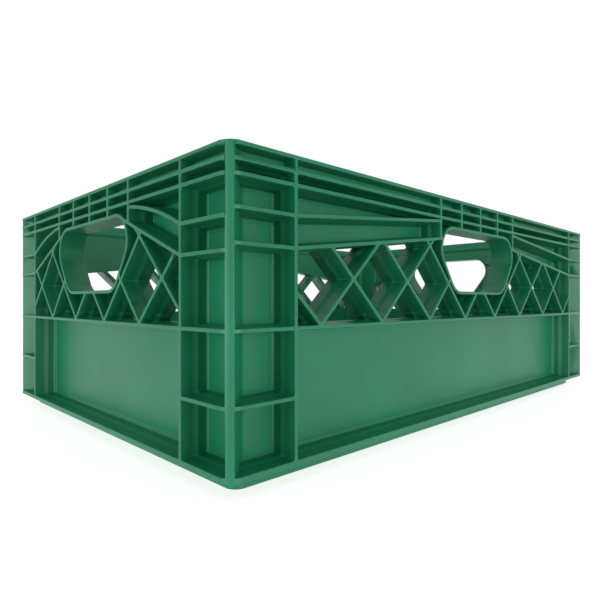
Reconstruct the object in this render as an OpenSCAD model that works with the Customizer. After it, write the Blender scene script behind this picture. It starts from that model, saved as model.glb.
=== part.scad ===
// Stacking plastic crate: 600 x 400 mm footprint, openwork sides and four hand grips.
// One injection moulding. Each node is one moulded region. Neighbours meet face to face, on flat
// joints that cross the ribs and the wall skin where both are plain.
// Frame: origin under the middle of the crate, +X along the long side, +Y across, +Z up.
//
// Each side wall is drawn in its own wall frame: x runs along the wall from its middle,
// y is the depth inwards from the outer face, and z is the height above the foot.

/* [Envelope] */
// Length over the flanges
crate_l = 600; // [590:1:620]
// Width over the flanges
crate_w = 400; // [392:1:420]
// Height from the foot to the rim
crate_h = 206; // [205:0.5:214]
// Outer radius of the four corners
corner_r = 10; // [6:0.5:12]

/* [Ribs] */
// Thickness of a rib's front blade
rib_t = 2.6; // [2:0.1:3]
// How much thicker a rib is at its root, on each side
rib_flare = 1.1; // [0.6:0.1:1.4]
// Depth at which the blade starts to flare
blade_depth = 9.4; // [7:0.1:10]
// Depth at which the flare reaches the full root thickness
root_depth = 12.6; // [11:0.1:15]
// Width of the rib on each outer corner
corner_rib_w = 5.6; // [4:0.2:7]
// Radius of the hollow between a corner rib and the wall skin
hollow_r = 6; // [4:1:40]
// Radius of the hollow between a corner rib and the rim
rim_hollow_r = 12; // [6:1:14]

/* [Walls] */
// Depth of the recessed wall skin behind the outer face
skin_front = 19.6; // [18:0.1:20]
// Depth of the inner wall face behind the outer face
skin_back = 22.5; // [22:0.1:24]
// Inner radius of the wall corners
inner_r = 6; // [4:0.5:8]

/* [Foot and floor] */
// Height of the stacking foot, and of the underside of the bottom flange
foot_h = 10; // [8:0.5:11]
// Inset of the foot behind the outer face
foot_inset = 14.2; // [13.8:0.1:15]
// Thickness of the foot wall
foot_t = 3; // [2:0.5:4]
// Outer radius of the foot's corners
foot_r = 8.4; // [6:0.2:10]
// Thickness of the bottom flange at its edge
flange_t = 3.6; // [3:0.2:4]
// Thickness of the floor
floor_t = 3; // [2:0.2:3.6]
// Clearance between the floor ribs and the ground
floor_rib_clear = 3; // [1:0.5:5]
// Thickness of the floor ribs
floor_rib_t = 2.4; // [2:0.2:3]
// Floor cells along the length
cells_l = 10; // [8:1:12]
// Floor cells across the width
cells_w = 6; // [5:1:8]
// Drain slots in each floor cell
slots_per_cell = 3; // [2:1:4]
// Width of a drain slot
slot_w = 6; // [4:0.5:8]

/* [Rim] */
// Height of the middle of the ledge rib, the second rib from the top
rib_2_z = 195.7; // [195:0.1:196]
// Height of the middle of the third rib from the top
rib_3_z = 187.1; // [186.5:0.1:188]
// Depth of the recess behind the top flange
rim_front = 10.2; // [10:0.1:11]
// Depth of the inner face of the stacking mouth
rim_back = 12.8; // [12.4:0.1:13.4]
// Inner radius of the stacking mouth's corners
mouth_r = 8; // [6:0.5:9]

/* [Side ribs] */
// Height of the rib on top of the solid lower panel
rib_6_z = 96.9; // [94:0.1:98]
// Height of the lowest rib in the corner posts
rib_7_z = 52.9; // [45:0.1:60]
// Distance of the post ribs from the crate's corner
post_u = 52.5; // [50:0.5:54]
// Distance of the inner short ribs of the rim from the middle of each side
rim_rib_s = 36.8; // [34:0.1:40]
// Distance of the ribs beside the grip from the middle of each side
grip_rib_s = 73.3; // [73.2:0.1:74]

/* [Hand grip] */
// Height of the grip tube's top
grip_top = 181; // [180:0.5:182]
// Height of the grip tube's underside
grip_bottom = 120; // [118:0.5:122]
// Half width of the flat top, where the upper corner arcs start
grip_top_s = 52; // [50:0.5:52]
// Radius of the upper corners
grip_top_r = 21; // [20:0.5:21]
// Radius of the lower corners
grip_bottom_r = 22; // [20:0.5:23]
// Slope of the flanks from the horizontal
grip_flank = 54; // [52:0.5:57]
// Wall thickness of the grip tube
grip_t = 2.6; // [2:0.1:3]

/* [Hidden] */

crate_green = [0.13, 0.45, 0.33];
// Angle between neighbouring points of a rounded outline
arc_step = 7.5;
// Overshoot of a cutting solid, so that no cut ends on a face
over = 1;
// Half lengths of the long and the short walls
half_l = crate_l / 2;
half_w = crate_w / 2;
root_t = rib_t + 2 * rib_flare;
flare_mid = (blade_depth + root_depth) / 2;
// The ribs reach this far into the skin that carries them
rib_back = skin_back - 1;
flange_top = foot_h + flange_t;
flange_root = flange_top + rib_flare;
ledge_top = rib_2_z + rib_t / 2;
// Distance from the crate's corner at which a post has taken all of its own ribs
sector_d = 62;

// Joints between the nodes: over the bottom flange, over the lower panel and under the rim
base_joint = 18;
sill_joint = 105;
rim_joint = (rib_2_z + rib_3_z) / 2;
// Joint between a post and its walls, as a distance from the crate's corner
post_joint_u = 60;
// Joint beside the hand grip, as a distance from the middle of the wall
bay_joint = 78;
// Joint between the lattice and the upper panel, under the sloping rib
rib_5_joint_drop = 8;

// Ribs of the long walls: heights at the post rib, and at the rib beside the grip
long_rib_4 = [168, 183.8];
long_rib_5 = [147.4, 168.4];
// Ribs of the short walls
short_rib_4 = [163, 183.6];
short_rib_5 = [143.1, 172];
// Radius of the arched rib on the short walls
short_arch_r = 230;
// Feet of the diagonal ribs on the lower panel, from the middle of the wall outwards
long_feet = [30.4, 91.2, 157.9, 224.6];
short_feet = [30.5, 91.5, 157.2];
// Height at which neighbouring diagonals cross
cross_z = 129.5;
foot_z = rib_6_z + rib_t / 2;

function arc(c, r, a0, a1) = let (n = ceil(abs(a1 - a0) / arc_step))
    [for (i = [0:n]) c + r * [cos(a0 + (a1 - a0) * i / n), sin(a0 + (a1 - a0) * i / n)]];

function rounded_rect(l, w, r) = concat(
    arc([l / 2 - r, w / 2 - r], r, 0, 90),
    arc([-l / 2 + r, w / 2 - r], r, 90, 180),
    arc([-l / 2 + r, -w / 2 + r], r, 180, 270),
    arc([l / 2 - r, -w / 2 + r], r, 270, 360));

// Section of a rib across its thickness and into its depth, which is counted from the mid flare
function rib_section(front, back) = let (b = rib_t / 2, r = root_t / 2) [
    [-b, front - flare_mid], [b, front - flare_mid], [b, blade_depth - flare_mid],
    [r, root_depth - flare_mid], [r, back - flare_mid], [-r, back - flare_mid],
    [-r, root_depth - flare_mid], [-b, blade_depth - flare_mid]];

// Half outline of the grip, from the bottom middle to the top middle, drawn in by an inset
function grip_half(inset) = let (
    top = [grip_top_s, grip_top - grip_top_r],
    r1 = grip_top_r - inset,
    r2 = grip_bottom_r - inset,
    tangent = top + grip_top_r * [sin(grip_flank), -cos(grip_flank)],
    rise = grip_bottom_r * (1 - cos(grip_flank)),
    run = (tangent[1] - grip_bottom - rise) / tan(grip_flank),
    bottom = [tangent[0] - run - grip_bottom_r * sin(grip_flank), grip_bottom + grip_bottom_r])
    concat(arc(bottom, r2, 270, 360 + grip_flank - 90), arc(top, r1, grip_flank - 90, 90));

function mirrored(points) = [for (i = [len(points) - 1:-1:0]) [-points[i][0], points[i][1]]];
function grip_outline(inset) = concat(grip_half(inset), mirrored(grip_half(inset)));

// Places a wall frame on each side of the crate
module on_front() translate([0, -half_w, 0]) children();
module on_rear() rotate(180) on_front() children();
module on_left() translate([-half_l, 0, 0]) rotate(-90) children();
module on_right() rotate(180) on_left() children();

// Straight run of a section drawn in depth and height, between two places along the wall
module run(points, s0, s1) {
    translate([s0, 0, 0]) rotate([90, 0, 90]) linear_extrude(s1 - s0) polygon(points);
}

// Flat shape drawn along the wall and in height, between two depths
module plate(points, d0, d1) {
    translate([0, d1, 0]) rotate([90, 0, 0]) linear_extrude(d1 - d0) polygon(points);
}

// Rib between two points [s, z] of the wall
module rib(p, q, front = 0, back = rib_back) {
    a = atan2(q[1] - p[1], q[0] - p[0]);
    translate([p[0], flare_mid, p[1]]) rotate([0, 90 - a, 0])
        linear_extrude(norm(q - p)) polygon(rib_section(front, back));
}

// Plan of one leg of a post, up to the mitre at the crate's corner, with the rounded corner
module leg(half, z0, z1) {
    c = corner_r;
    s0 = half - post_joint_u;
    translate([0, 0, z0]) linear_extrude(z1 - z0) polygon(concat(
        [[s0, 0]], arc([half - c, c], c, 270, 315), [[s0, post_joint_u]]));
}

// Rib on the outer corner, with the hollows that lead its sides into a skin between two depths
module corner_rib(z0, z1, front, back, r) {
    w = corner_rib_w / sqrt(2);
    u = front + w + r * tan(22.5);
    in = (front + back) / 2;
    reach = back + 0.8;
    side = concat(arc([u, front - r], r, 135, 90), [[u, in], [reach, in]]);
    other = [for (i = [len(side) - 1:-1:0]) [side[i][1], side[i][0]]];
    translate([0, 0, z0]) linear_extrude(z1 - z0)
        polygon(concat([[-w, 0], [0, -w]], side, [[reach, reach]], other));
}

// Fillet inside a corner, at an inset from the outer faces
module corner_fillet(inset, r, z0, z1) {
    low = inset - 0.5;
    translate([0, 0, z0]) linear_extrude(z1 - z0)
        polygon(concat([[low, low], [inset + r, low]],
            arc([inset + r, inset + r], r, 270, 180), [[low, inset + r]]));
}

// ---- Foot and floor ----

module foot_ring() color(crate_green) difference() {
    linear_extrude(foot_h)
        polygon(rounded_rect(crate_l - 2 * foot_inset, crate_w - 2 * foot_inset, foot_r));
    inner = foot_inset + foot_t;
    translate([0, 0, -over]) linear_extrude(foot_h + 2 * over)
        polygon(rounded_rect(crate_l - 2 * inner, crate_w - 2 * inner, foot_r - foot_t));
}

module floor_panel() color(crate_green) {
    l = crate_l - 2 * skin_back;
    w = crate_w - 2 * skin_back;
    pitch_l = l / cells_l;
    pitch_w = w / cells_w;
    slot_l = pitch_l - 14;
    slot_pitch = pitch_w / (slots_per_cell + 0.5);
    translate([0, 0, foot_h]) linear_extrude(floor_t) difference() {
        polygon(rounded_rect(l, w, inner_r));
        for (i = [0:cells_l - 1])
            for (j = [0:cells_w - 1])
                for (k = [0:slots_per_cell - 1])
                    translate([(i + 0.5) * pitch_l - l / 2,
                               (j + 0.5) * pitch_w - w / 2 + (k - (slots_per_cell - 1) / 2) * slot_pitch])
                        slot(slot_l, slot_w);
    }
}

// Drain slot with cut corners
module slot(l, w) {
    c = w / 3;
    polygon([[-l / 2 + c, -w / 2], [l / 2 - c, -w / 2], [l / 2, -w / 2 + c], [l / 2, w / 2 - c],
        [l / 2 - c, w / 2], [-l / 2 + c, w / 2], [-l / 2, w / 2 - c], [-l / 2, -w / 2 + c]]);
}

module floor_ribs() color(crate_green) {
    inner = foot_inset + foot_t;
    l = crate_l - 2 * inner;
    w = crate_w - 2 * inner;
    pitch_l = (crate_l - 2 * skin_back) / cells_l;
    pitch_w = (crate_w - 2 * skin_back) / cells_w;
    translate([0, 0, floor_rib_clear]) linear_extrude(foot_h - floor_rib_clear) union() {
        for (i = [1:cells_l - 1])
            translate([(i - cells_l / 2) * pitch_l, 0]) square([floor_rib_t, w], center = true);
        for (j = [1:cells_w - 1])
            translate([0, (j - cells_w / 2) * pitch_w]) square([l, floor_rib_t], center = true);
    }
}

// ---- Bottom flange and rim ----

// Sections of the bottom flange, with the skin up to a height, and of the rim, from a height up
function flange_section(top) = [[0, foot_h], [skin_back, foot_h], [skin_back, top],
    [skin_front, top], [skin_front, flange_root], [root_depth, flange_root],
    [blade_depth, flange_top], [0, flange_top]];

function rim_section(bottom) = let (low = ledge_top - rib_t, high = crate_h - rib_t) [
    [0, low], [0, ledge_top], [blade_depth, ledge_top], [rim_front, ledge_top + 0.3],
    [rim_front, high - 0.3], [blade_depth, high], [0, high], [0, crate_h], [rim_back, crate_h],
    [rim_back, ledge_top], [skin_back, ledge_top], [skin_back, bottom], [skin_front, bottom],
    [skin_front, low - rib_flare], [root_depth, low - rib_flare], [blade_depth, low]];

// Short upright rib of the rim, under the ledge and over it
module rim_rib(s) {
    rib([s, rim_joint - over], [s, ledge_top - 1]);
    rib([s, ledge_top - 2], [s, crate_h - rib_t / 2], back = rim_back - 0.1);
}

module base_flange(half) color(crate_green) {
    s1 = half - post_joint_u;
    run(flange_section(base_joint), -s1, s1);
}

module rim(half) color(crate_green) {
    s1 = half - post_joint_u;
    run(rim_section(rim_joint), -s1, s1);
    intersection() {
        for (s = [-grip_rib_s, -rim_rib_s, 0, rim_rib_s, grip_rib_s])
            rim_rib(s);
        run([[0, rim_joint], [skin_back, rim_joint], [skin_back, crate_h], [0, crate_h]], -s1, s1);
    }
}

// ---- Ribs of the side walls ----

// Height at a place along the wall of a straight rib, given its two end heights
function rib_height(ends, half, s) =
    ends[1] + (ends[0] - ends[1]) * (s - grip_rib_s) / (half - post_u - grip_rib_s);

// Straight rib through its two end heights, between two places along the wall.
// It overshoots the outer face, where the walls are cut.
module side_rib(ends, half, s0, s1, back = rib_back) {
    rib([s0, rib_height(ends, half, s0)], [s1, rib_height(ends, half, s1)], -over, back);
}

// Centre of a circle through two points with a given radius, on the lower side
function arch_centre(p, q, r) = let (d = q - p, h = sqrt(r * r - d * d / 4))
    (p + q) / 2 - h * [-d[1], d[0]] / norm(d);

// Arched rib of the short walls, from the rib beside the grip to the post rib
module arched_rib() {
    p = [grip_rib_s, short_rib_4[1]];
    q = [half_w - post_u, short_rib_4[0]];
    c = arch_centre(p, q, short_arch_r);
    a0 = atan2(q[1] - c[1], q[0] - c[0]);
    a1 = atan2(p[1] - c[1], p[0] - c[0]);
    translate([c[0], flare_mid, c[1]]) rotate([90, 0, 0]) mirror([0, 0, 1])
        rotate_extrude(angle = a1 - a0, start = a0, $fn = 180)
            translate([short_arch_r, 0]) polygon(rib_section(0, rib_back));
}

// Rib 4 of either kind of wall
module rib_4(half, ends, arched) {
    if (arched) arched_rib();
    if (!arched) side_rib(ends, half, grip_rib_s, half - post_u);
}

// Diagonal rib that rises from a foot towards one side, crossing its neighbour half a pitch on
module diagonal(foot, pitch, side) {
    slope = (cross_z - foot_z) / (pitch / 2);
    drop = 3;
    rise = grip_top - foot_z;
    rib([foot - side * drop / slope, foot_z - drop], [foot + side * rise / slope, grip_top],
        -over, skin_back + over);
}

// All the diagonals on one half of a wall
module diagonals(feet) {
    last = len(feet) - 1;
    diagonal(feet[0], 2 * feet[0], -1);
    for (i = [1:last]) {
        diagonal(feet[i - 1], feet[i] - feet[i - 1], 1);
        diagonal(feet[i], feet[i] - feet[i - 1], -1);
    }
    diagonal(feet[last], feet[last] - feet[last - 1], 1);
}

// ---- Corner posts ----

// One leg of a post, along the wall that ends at s = half, without its skin
module post_leg(half, rib_4, rib_5, feet, arched) intersection() {
    union() {
        run(flange_section(base_joint + over), half - sector_d, half);
        run(rim_section(rim_joint - over), half - sector_d, half);
        rim_rib(half - post_u);
        rib([half - post_u, foot_h + flange_t / 2], [half - post_u, rim_joint]);
        for (z = [rib_7_z, rib_5[0], rib_4[0]])
            rib([half - post_u, z], [half, z]);
        for (z = [rib_6_z, rib_3_z])
            rib([half - sector_d, z], [half, z]);
        side_rib(rib_5, half, half - sector_d, half - post_u, skin_back + over);
        rib_4(half, rib_4, arched);
        intersection() {
            diagonals(feet);
            plate([[half - sector_d, foot_z], [half - post_u, foot_z],
                [half - post_u, cross_z], [half - sector_d, cross_z]], 0, skin_back);
        }
    }
    leg(half, foot_h, crate_h);
}

// Skin of the post, bent round the corner, with its outer faces on x = 0 and y = 0.
// Beside the lattice it has no skin past the post rib.
module post_skin() {
    c = skin_back + inner_r;
    edge = post_u + root_t / 2;
    outline = concat([[skin_front, edge], [skin_back, edge]], arc([c, c], inner_r, 180, 270),
        [[edge, skin_back], [edge, skin_front], [skin_front, skin_front]]);
    translate([0, 0, base_joint]) linear_extrude(rim_joint - base_joint) polygon(outline);
    corner_fillet(skin_back, inner_r, foot_h, base_joint);
    corner_fillet(skin_back, inner_r, rim_joint, ledge_top);
    corner_fillet(rim_back, mouth_r, ledge_top - 1, crate_h);
}

// Skin between a post rib and the joint, under the lattice and over it
module post_wings(half, rib_5) {
    s0 = half - post_joint_u;
    s1 = half - post_u;
    plate([[s0, base_joint], [s1, base_joint], [s1, rib_6_z], [s0, rib_6_z]], skin_front, skin_back);
    plate([[s0, rib_height(rib_5, half, s0)], [s1, rib_5[0]], [s1, rim_joint], [s0, rim_joint]],
        skin_front, skin_back);
}

// The post at the front left corner, from the bottom flange to the rim
module corner_post() color(crate_green) union() {
    translate([-half_l, -half_w, 0]) post_skin();
    intersection() {
        translate([-half_l, -half_w, 0]) union() {
            corner_rib(foot_h, ledge_top, skin_front, skin_back, hollow_r);
            corner_rib(ledge_top - 1, crate_h, rim_front, rim_back, rim_hollow_r);
        }
        translate([0, 0, foot_h - over]) linear_extrude(crate_h)
            polygon(rounded_rect(crate_l, crate_w, corner_r));
    }
    on_front() mirror([1, 0, 0]) {
        post_leg(half_l, long_rib_4, long_rib_5, long_feet, false);
        post_wings(half_l, long_rib_5);
    }
    on_left() {
        post_leg(half_w, short_rib_4, short_rib_5, short_feet, true);
        post_wings(half_w, short_rib_5);
    }
}

// ---- Lower panels ----

module lower_panel(half, feet) color(crate_green) {
    blade = rib_t / 2;
    root = root_t / 2;
    s1 = half - post_joint_u;
    run([[skin_front, base_joint], [skin_back, base_joint], [skin_back, rib_6_z + root],
        [root_depth, rib_6_z + root], [blade_depth, rib_6_z + blade], [0, rib_6_z + blade],
        [0, rib_6_z - blade], [blade_depth, rib_6_z - blade], [root_depth, rib_6_z - root],
        [skin_front, rib_6_z - root]], -s1, s1);
    intersection() {
        union() {
            diagonals(feet);
            mirror([1, 0, 0]) diagonals(feet);
        }
        plate([[-s1, rib_6_z], [s1, rib_6_z], [s1, sill_joint], [-s1, sill_joint]], 0, skin_back);
    }
}

// ---- Lattice between the grip and a post ----

module lattice(half, feet, rib_5) color(crate_green) intersection() {
    s1 = half - post_joint_u;
    diagonals(feet);
    plate([[bay_joint, sill_joint], [s1, sill_joint],
        [s1, rib_height(rib_5, half, s1) - rib_5_joint_drop],
        [bay_joint, rib_height(rib_5, half, bay_joint) - rib_5_joint_drop]], 0, skin_back);
}

// ---- Upper panels ----

module upper_panel(half, feet, rib_4, rib_5, arched) color(crate_green) intersection() {
    s1 = half - post_joint_u;
    z0 = rib_height(rib_5, half, bay_joint);
    z1 = rib_height(rib_5, half, s1);
    union() {
        plate([[bay_joint, z0], [s1, z1], [s1, rim_joint], [bay_joint, rim_joint]],
            skin_front, skin_back);
        rib([bay_joint, rib_3_z], [s1, rib_3_z]);
        side_rib(rib_5, half, bay_joint - over, s1 + over, skin_back + over);
        rib_4(half, rib_4, arched);
        intersection() {
            diagonals(feet);
            plate([[bay_joint, z0 - rib_5_joint_drop], [s1, z1 - rib_5_joint_drop],
                [s1, z1], [bay_joint, z0]], 0, skin_back);
        }
    }
    run([[0, 0], [skin_back, 0], [skin_back, rim_joint], [0, rim_joint]], bay_joint, s1);
}

// ---- Hand grips ----

// One half of the wall round a grip, before the hole is cut
module grip_bay(half, feet, rib_4, rib_5, arched) {
    z5 = rib_height(rib_5, half, bay_joint);
    plate([[0, grip_top - grip_top_r], [grip_rib_s, rib_5[1]], [bay_joint, z5],
        [bay_joint, rim_joint], [0, rim_joint]], skin_front, skin_back);
    rib([0, rib_3_z], [bay_joint, rib_3_z]);
    rib([rim_rib_s, grip_top - grip_t / 2], [rim_rib_s, rim_joint]);
    rib([grip_rib_s, rib_5[1]], [grip_rib_s, rim_joint]);
    intersection() {
        union() {
            side_rib(rib_5, half, grip_top_s, bay_joint + over, skin_back + over);
            rib_4(half, rib_4, arched);
        }
        plate([[grip_top_s, cross_z], [bay_joint, cross_z], [bay_joint, rim_joint],
            [grip_top_s, rim_joint]], 0, skin_back);
    }
    difference() {
        intersection() {
            diagonals(feet);
            plate([[-bay_joint, sill_joint], [bay_joint, sill_joint], [bay_joint, grip_top - grip_top_r],
                [-bay_joint, grip_top - grip_top_r]], 0, skin_back);
        }
        plate(grip_outline(grip_t / 2), -over, skin_back + over);
    }
}

module hand_grip(half, feet, rib_4, rib_5, arched) color(crate_green) difference() {
    union() {
        plate(grip_outline(0), 0, skin_back);
        rib([0, grip_top - grip_t / 2], [0, rim_joint]);
        grip_bay(half, feet, rib_4, rib_5, arched);
        mirror([1, 0, 0]) grip_bay(half, feet, rib_4, rib_5, arched);
    }
    plate(grip_outline(grip_t), -over, skin_back + over);
}

// ---- The two kinds of wall ----

module long_lower_panel() lower_panel(half_l, long_feet);
module short_lower_panel() lower_panel(half_w, short_feet);
module long_lattice() lattice(half_l, long_feet, long_rib_5);
module short_lattice() lattice(half_w, short_feet, short_rib_5);
module long_upper_panel() upper_panel(half_l, long_feet, long_rib_4, long_rib_5, false);
module short_upper_panel() upper_panel(half_w, short_feet, short_rib_4, short_rib_5, true);
module long_hand_grip() hand_grip(half_l, long_feet, long_rib_4, long_rib_5, false);
module short_hand_grip() hand_grip(half_w, short_feet, short_rib_4, short_rib_5, true);

// ---- Nodes ----

foot_ring();
floor_panel();
floor_ribs();

on_front() base_flange(half_l);  // base_flange_front
on_rear() base_flange(half_l);  // base_flange_rear
on_left() base_flange(half_w);  // base_flange_left
on_right() base_flange(half_w);  // base_flange_right

corner_post();  // corner_post_front_left
mirror([1, 0, 0]) corner_post();  // corner_post_front_right
mirror([0, 1, 0]) corner_post();  // corner_post_rear_left
rotate(180) corner_post();  // corner_post_rear_right

on_front() long_lower_panel();  // lower_panel_front
on_rear() long_lower_panel();  // lower_panel_rear
on_left() short_lower_panel();  // lower_panel_left
on_right() short_lower_panel();  // lower_panel_right

on_front() mirror([1, 0, 0]) long_lattice();  // lattice_front_left
on_front() long_lattice();  // lattice_front_right
on_rear() long_lattice();  // lattice_rear_left
on_rear() mirror([1, 0, 0]) long_lattice();  // lattice_rear_right
on_left() short_lattice();  // lattice_left_front
on_left() mirror([1, 0, 0]) short_lattice();  // lattice_left_rear
on_right() mirror([1, 0, 0]) short_lattice();  // lattice_right_front
on_right() short_lattice();  // lattice_right_rear

on_front() mirror([1, 0, 0]) long_upper_panel();  // upper_panel_front_left
on_front() long_upper_panel();  // upper_panel_front_right
on_rear() long_upper_panel();  // upper_panel_rear_left
on_rear() mirror([1, 0, 0]) long_upper_panel();  // upper_panel_rear_right
on_left() short_upper_panel();  // upper_panel_left_front
on_left() mirror([1, 0, 0]) short_upper_panel();  // upper_panel_left_rear
on_right() mirror([1, 0, 0]) short_upper_panel();  // upper_panel_right_front
on_right() short_upper_panel();  // upper_panel_right_rear

on_front() long_hand_grip();  // hand_grip_front
on_rear() long_hand_grip();  // hand_grip_rear
on_left() short_hand_grip();  // hand_grip_left
on_right() short_hand_grip();  // hand_grip_right

on_front() rim(half_l);  // rim_front
on_rear() rim(half_l);  // rim_rear
on_left() rim(half_w);  // rim_left
on_right() rim(half_w);  // rim_right
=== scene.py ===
"""Looks of the stacking crate: rounded plastic edges, polypropylene shading, studio and camera."""
import math

import bmesh
import bpy
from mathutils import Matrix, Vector
from mathutils.bvhtree import BVHTree
from mathutils.kdtree import KDTree


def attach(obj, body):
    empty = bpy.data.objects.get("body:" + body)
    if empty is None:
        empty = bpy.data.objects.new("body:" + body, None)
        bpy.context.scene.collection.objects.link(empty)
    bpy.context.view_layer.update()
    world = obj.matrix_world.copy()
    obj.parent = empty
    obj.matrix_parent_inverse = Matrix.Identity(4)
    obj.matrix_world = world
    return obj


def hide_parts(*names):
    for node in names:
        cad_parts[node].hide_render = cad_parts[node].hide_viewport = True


MM = 0.001

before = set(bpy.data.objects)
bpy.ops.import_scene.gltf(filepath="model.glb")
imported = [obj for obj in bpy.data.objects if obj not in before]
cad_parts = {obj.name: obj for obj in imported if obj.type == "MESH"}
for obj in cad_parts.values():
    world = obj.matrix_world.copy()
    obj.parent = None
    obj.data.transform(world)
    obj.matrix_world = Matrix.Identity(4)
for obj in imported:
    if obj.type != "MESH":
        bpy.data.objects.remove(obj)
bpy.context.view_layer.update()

# ---- Mesh of each moulded region: the CAD shape with the small radii that a mould leaves ----

# Vertices closer than WELD are one vertex, and a triangle lower than SLIVER is a flat one
WELD = 0.002 * MM
SLIVER = 0.006 * MM
# Then vertices closer than NARROW and triangles lower than LOW, which would spoil the radii
NARROW = 0.25 * MM
LOW = NARROW / 2
# Closing a sliver can leave another one, so it is done up to this many times
ROUNDS = 12
# Faces under this angle become one face
FLAT_ANGLE = math.radians(0.6)
# Edges over this angle are rounded
EDGE_ANGLE = math.radians(12)
# Edges that are still over this angle are shaded sharp
SHARP_ANGLE = math.radians(50)
# Radius of an outer edge, and of the hollow where two faces meet inwards
EDGE_RADIUS = 0.5 * MM
HOLLOW_RADIUS = 2.0 * MM
EDGE_STEPS = 3
# A radius takes at most this share of a neighbouring edge's length
EDGE_SHARE = 0.42
# A face narrower than this keeps its edges as they are
THIN = 0.2 * MM
# How far in from an edge its two faces are tested for a neighbour behind them, and how close
# and how nearly face to face that neighbour is
PROBE = 0.25 * MM
TOUCH = 0.01 * MM
FACING = -0.99
# A rounded piece is at fault where it is further than this from the CAD surface, or where the
# cosine between the two is under AGAINST, triangles smaller than SPECK left aside
STRAY = 0.9 * MM
AGAINST = 0.1
SPECK = 0.02 * MM * MM
# Within REACH of a fault the radii are cut to these shares, one after another until it is gone
REACH = 2.5 * MM
EASING = (0.6, 0.5, 0.0, 0.0, 0.0)


def cad_surface(nodes):
    """One search tree over all the CAD nodes, with the node that each triangle belongs to."""
    points, triangles, owners = [], [], []
    for name in sorted(nodes):
        mesh = nodes[name].data
        base = len(points)
        points += [v.co.copy() for v in mesh.vertices]
        mesh.calc_loop_triangles()
        for t in mesh.loop_triangles:
            triangles.append([base + i for i in t.vertices])
            owners.append(name)
    return BVHTree.FromPolygons(points, triangles), owners


def is_joint(name, edge, surface, owners):
    """Does one of the edge's faces lie on a neighbouring node, just inside the edge?"""
    a, b = (v.co for v in edge.verts)
    middle, along = (a + b) / 2, (b - a).normalized()
    for face in edge.link_faces:
        inwards = face.normal.cross(along)
        loop = next(l for l in edge.link_loops if l.face == face)
        if loop.vert != edge.verts[0]:
            inwards = -inwards
        point = middle + inwards * PROBE
        for _, normal, index, _ in surface.find_nearest_range(point, TOUCH):
            if owners[index] != name and normal.dot(face.normal) < FACING:
                return True
    return False


def close_some_slivers(shape, height):
    """Takes out triangles lower than this and joins the faces beside them. Returns how many."""
    closed = 0
    for face in list(shape.faces):
        if not face.is_valid:
            continue
        longest = max(face.edges, key=lambda e: e.calc_length())
        length = longest.calc_length()
        if len(face.verts) != 3 or 2 * face.calc_area() > height * length:
            continue
        start, end = longest.verts
        apex = next(v for v in face.verts if v not in (start, end))
        share = (apex.co - start.co).dot(end.co - start.co) / length**2
        bmesh.ops.delete(shape, geom=[face], context="FACES_ONLY")
        middle = bmesh.utils.edge_split(longest, start, share)[1]
        bmesh.ops.weld_verts(shape, targetmap={middle: apex})
        closed += 1
    return closed


def close_slivers(shape, height):
    for _ in range(ROUNDS):
        if not close_some_slivers(shape, height):
            break


def welded(mesh):
    """The node's mesh as joined-up flat faces instead of triangles."""
    shape = bmesh.new()
    shape.from_mesh(mesh)
    bmesh.ops.remove_doubles(shape, verts=shape.verts, dist=WELD)
    close_slivers(shape, SLIVER)
    bmesh.ops.remove_doubles(shape, verts=shape.verts, dist=SLIVER)
    close_slivers(shape, LOW)
    for distance in (LOW, NARROW):
        bmesh.ops.remove_doubles(shape, verts=shape.verts, dist=distance)
    close_slivers(shape, LOW)
    bmesh.ops.dissolve_limit(
        shape, angle_limit=FLAT_ANGLE, verts=shape.verts, edges=shape.edges
    )
    shape.normal_update()
    return shape


def is_thin(face):
    return face.calc_area() < THIN * face.calc_perimeter() / 2


def set_radii(name, shape, surface, owners):
    """Marks the edges to be rounded, with less radius where there is little room."""
    weight = shape.edges.layers.float.get("bevel_weight_edge")
    if weight is None:
        weight = shape.edges.layers.float.new("bevel_weight_edge")
    for edge in shape.edges:
        if len(edge.link_faces) != 2 or edge.calc_face_angle(0) < EDGE_ANGLE:
            continue
        if any(is_thin(f) for f in edge.link_faces) or is_joint(name, edge, surface, owners):
            continue
        radius = EDGE_RADIUS if edge.is_convex else HOLLOW_RADIUS
        room = min(e.calc_length() for v in edge.verts for e in v.link_edges)
        edge[weight] = min(radius, room * EDGE_SHARE) / HOLLOW_RADIUS


def bevelled(name, shape):
    """The piece with its radii, as a new mesh."""
    mesh = bpy.data.meshes.new(name + "_sharp")
    shape.to_mesh(mesh)
    blank = bpy.data.objects.new(name + "_sharp", mesh)
    bpy.context.scene.collection.objects.link(blank)
    bevel = blank.modifiers.new("radii", "BEVEL")
    bevel.limit_method = "WEIGHT"
    bevel.width = HOLLOW_RADIUS
    bevel.segments = EDGE_STEPS
    bevel.use_clamp_overlap = False
    bevel.miter_outer = "MITER_SHARP"
    graph = bpy.context.evaluated_depsgraph_get()
    done = bpy.data.meshes.new_from_object(blank.evaluated_get(graph))
    bpy.data.objects.remove(blank)
    bpy.data.meshes.remove(mesh)
    rounded = bmesh.new()
    rounded.from_mesh(done)
    bmesh.ops.dissolve_degenerate(rounded, dist=WELD, edges=rounded.edges)
    bmesh.ops.triangulate(rounded, faces=rounded.faces)
    rounded.to_mesh(done)
    rounded.free()
    done.name = name + "_looks"
    return done


def faults(mesh, surface):
    """Middles and corners of the triangles that are off the CAD surface or turned against it."""
    found = []
    mesh.calc_loop_triangles()
    for triangle in mesh.loop_triangles:
        if triangle.area < SPECK:
            continue
        middle = triangle.center
        distance = surface.find_nearest(middle)[3]
        near = surface.find_nearest_range(middle, distance + PROBE)
        turned = all(normal.dot(triangle.normal) < AGAINST for _, normal, _, _ in near)
        if distance > STRAY or turned:
            found += [middle] + [mesh.vertices[i].co for i in triangle.vertices]
    return found


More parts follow.
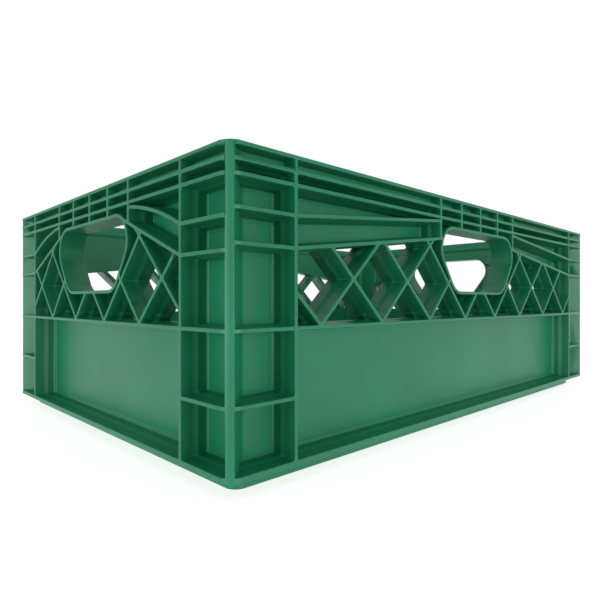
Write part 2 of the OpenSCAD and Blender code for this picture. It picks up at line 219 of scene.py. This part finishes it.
def ease(shape, places, share):
    """Leaves this share of the radii on the edges that pass near the given places."""
    weight = shape.edges.layers.float["bevel_weight_edge"]
    grid = KDTree(len(places))
    for i, place in enumerate(places):
        grid.insert(place, i)
    grid.balance()
    for edge in shape.edges:
        a, b = (v.co for v in edge.verts)
        steps = max(1, math.ceil((b - a).length / REACH))
        points = (a.lerp(b, i / steps) for i in range(steps + 1))
        if edge[weight] and any(grid.find(p)[2] < REACH for p in points):
            edge[weight] *= share


def rounded_mesh(name, node, surface, owners):
    """The node's mesh with radii, eased where they have no room: the try with fewest faults."""
    shape = welded(node.data)
    set_radii(name, shape, surface, owners)
    best, fewest = None, None
    for share in EASING:
        mesh = bevelled(name, shape)
        places = faults(mesh, surface)
        if best is None or len(places) < fewest:
            best, fewest = mesh, len(places)
        if not places:
            break
        ease(shape, places, share)
    shape.free()
    for vertex in best.vertices:
        nearest, _, _, distance = surface.find_nearest(vertex.co)
        if distance > STRAY:
            vertex.co = nearest
    for polygon in best.polygons:
        polygon.use_smooth = True
    best.set_sharp_from_angle(angle=SHARP_ANGLE)
    return best


def rounded_piece(name, node, surface, owners):
    piece = bpy.data.objects.new(name + "_looks", rounded_mesh(name, node, surface, owners))
    bpy.context.scene.collection.objects.link(piece)
    normals = piece.modifiers.new("flat faces stay flat", "WEIGHTED_NORMAL")
    normals.keep_sharp = True
    return piece


surface, owners = cad_surface(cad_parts)
pieces = [
    rounded_piece(name, node, surface, owners)
    for name, node in sorted(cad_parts.items())
]

# ---- Moulded polypropylene ----

# Green of the plastic, from one flow mark to the next
DEEP_GREEN = (0.0045, 0.215, 0.098, 1)
PALE_GREEN = (0.0065, 0.255, 0.122, 1)
# Satin of the mould's surface: lowest and highest roughness
SATIN = (0.38, 0.46)
PLASTIC_IOR = 1.49
# Size of the flow marks, of the satin's specks and of the grain
FLOW_SIZE = 60 * MM
SATIN_SIZE = 1.2 * MM
GRAIN_SIZE = 0.35 * MM
GRAIN_DEPTH = 0.02 * MM
GRAIN_STRENGTH = 0.25
# The stretch of a noise texture's values that is used
NOISE_LOW, NOISE_HIGH = 0.3, 0.7


def noise(tree, coordinates, size, detail, roughness):
    """Noise texture whose lumps are about this many metres across."""
    node = tree.nodes.new("ShaderNodeTexNoise")
    node.inputs["Scale"].default_value = 1 / size
    node.inputs["Detail"].default_value = detail
    node.inputs["Roughness"].default_value = roughness
    tree.links.new(coordinates, node.inputs["Vector"])
    return node.outputs["Fac"]


def spread(tree, value, to_low, to_high):
    """Maps a noise texture's values to another stretch, clamped."""
    node = tree.nodes.new("ShaderNodeMapRange")
    for name, number in (
        ("From Min", NOISE_LOW),
        ("From Max", NOISE_HIGH),
        ("To Min", to_low),
        ("To Max", to_high),
    ):
        node.inputs[name].default_value = number
    tree.links.new(value, node.inputs["Value"])
    return node.outputs["Result"]


def polypropylene(name):
    material = bpy.data.materials.new(name)
    material.use_nodes = True
    tree = material.node_tree
    links = tree.links
    shader = tree.nodes["Principled BSDF"]
    place = tree.nodes.new("ShaderNodeTexCoord").outputs["Object"]

    flow = noise(tree, place, FLOW_SIZE, 3.0, 0.5)
    speck = noise(tree, place, SATIN_SIZE, 3.0, 0.6)
    colour = tree.nodes.new("ShaderNodeMix")
    colour.data_type = "RGBA"
    colour.inputs["A"].default_value = DEEP_GREEN
    colour.inputs["B"].default_value = PALE_GREEN
    links.new(spread(tree, flow, 0.0, 1.0), colour.inputs["Factor"])
    links.new(colour.outputs["Result"], shader.inputs["Base Color"])

    links.new(spread(tree, speck, *SATIN), shader.inputs["Roughness"])
    shader.inputs["IOR"].default_value = PLASTIC_IOR

    grain = noise(tree, place, GRAIN_SIZE, 2.0, 0.55)
    bump = tree.nodes.new("ShaderNodeBump")
    bump.inputs["Strength"].default_value = GRAIN_STRENGTH
    bump.inputs["Distance"].default_value = GRAIN_DEPTH
    links.new(grain, bump.inputs["Height"])
    links.new(bump.outputs["Normal"], shader.inputs["Normal"])
    return material


plastic = polypropylene("green_polypropylene")
for piece, name in zip(pieces, sorted(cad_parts)):
    piece.data.materials.clear()
    piece.data.materials.append(plastic)
    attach(piece, "root")
    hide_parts(name)

# ---- Studio ----

# Light from all round, and the glow of the floor, of the backdrop and of what is reflected
DOME = 0.29
FLOOR_GLOW = 0.77
BACKDROP_GLOW = 1.0
REFLECTIONS = 0.65
# Half the floor's width, and the radii of the two screens
FLOOR_REACH = 12
BACKDROP_RADIUS = 14
REFLECTIONS_RADIUS = 13
# One soft box square on to each side of the crate, and one over it: name, place, the point it
# faces, width and power
SOFT_BOXES = (
    ("box_front", (-0.2, -2.6, 0.1), (0, -0.2, 0.1), 1.3, 24),
    ("box_left", (-2.7, -0.2, 0.1), (-0.3, 0, 0.1), 1.3, 25),
    ("box_rear", (0.2, 2.6, 0.1), (0, 0.2, 0.1), 1.3, 16),
    ("box_right", (2.7, 0.2, 0.1), (0.3, 0, 0.1), 1.3, 16),
    ("box_top", (0, 0, 2.8), (0, 0, 0), 2.2, 6),
)


def glowing(name, base, emission):
    material = bpy.data.materials.new(name)
    material.use_nodes = True
    shader = material.node_tree.nodes["Principled BSDF"]
    shader.inputs["Base Color"].default_value = (base, base, base, 1)
    shader.inputs["Roughness"].default_value = 0.8
    shader.inputs["Specular IOR Level"].default_value = 0.1
    shader.inputs["Emission Color"].default_value = (1, 1, 1, 1)
    shader.inputs["Emission Strength"].default_value = emission
    return material


def staged(name, mesh, material):
    """A thing of the studio that shows in reflections, but casts no other light and no shadow."""
    thing = bpy.data.objects.new(name, mesh)
    bpy.context.scene.collection.objects.link(thing)
    mesh.materials.append(material)
    thing.visible_diffuse = False
    thing.visible_shadow = False
    return thing


def studio_floor():
    mesh = bpy.data.meshes.new("studio_floor")
    r = FLOOR_REACH
    mesh.from_pydata([(-r, -r, 0), (r, -r, 0), (r, r, 0), (-r, r, 0)], [], [(0, 1, 2, 3)])
    staged("studio_floor", mesh, glowing("studio_floor", 0.8, FLOOR_GLOW))


def studio_screen(name, radius, emission, in_camera):
    """White screen all round, for the camera or for reflections."""
    shape = bmesh.new()
    bmesh.ops.create_uvsphere(shape, u_segments=48, v_segments=24, radius=radius)
    mesh = bpy.data.meshes.new(name)
    shape.to_mesh(mesh)
    shape.free()
    screen = staged(name, mesh, glowing(name, 0.0, emission))
    screen.visible_camera = in_camera
    screen.visible_glossy = not in_camera


def studio_world():
    """The same soft light from every side, from below too."""
    world = bpy.data.worlds.new("studio")
    bpy.context.scene.world = world
    world.use_nodes = True
    background = world.node_tree.nodes["Background"]
    background.inputs["Color"].default_value = (1, 1, 1, 1)
    background.inputs["Strength"].default_value = DOME


def soft_box(name, place, target, size, watts):
    data = bpy.data.lights.new(name, "AREA")
    data.shape = "SQUARE"
    data.size = size
    data.energy = watts
    light = bpy.data.objects.new(name, data)
    light.location = place
    light.rotation_euler = (Vector(target) - Vector(place)).to_track_quat("-Z", "Y").to_euler()
    bpy.context.scene.collection.objects.link(light)


studio_floor()
studio_screen("studio_backdrop", BACKDROP_RADIUS, BACKDROP_GLOW, True)
studio_screen("studio_reflections", REFLECTIONS_RADIUS, REFLECTIONS, False)
studio_world()
for box in SOFT_BOXES:
    soft_box(*box)

# ---- Camera: level, at half the crate's height, facing its front left corner ----

camera_data = bpy.data.cameras.new("camera")
camera_data.lens = 29.94
camera_data.sensor_width = 36
camera_data.clip_start = 0.01
camera_data.clip_end = 50
camera = bpy.data.objects.new("camera", camera_data)
camera.location = (-0.4639, -0.4279, 0.11475)
camera.rotation_euler = (math.radians(90), 0, math.radians(-43.897))
bpy.context.scene.collection.objects.link(camera)
bpy.context.scene.camera = camera
bpy.context.scene.view_settings.view_transform = "Standard"
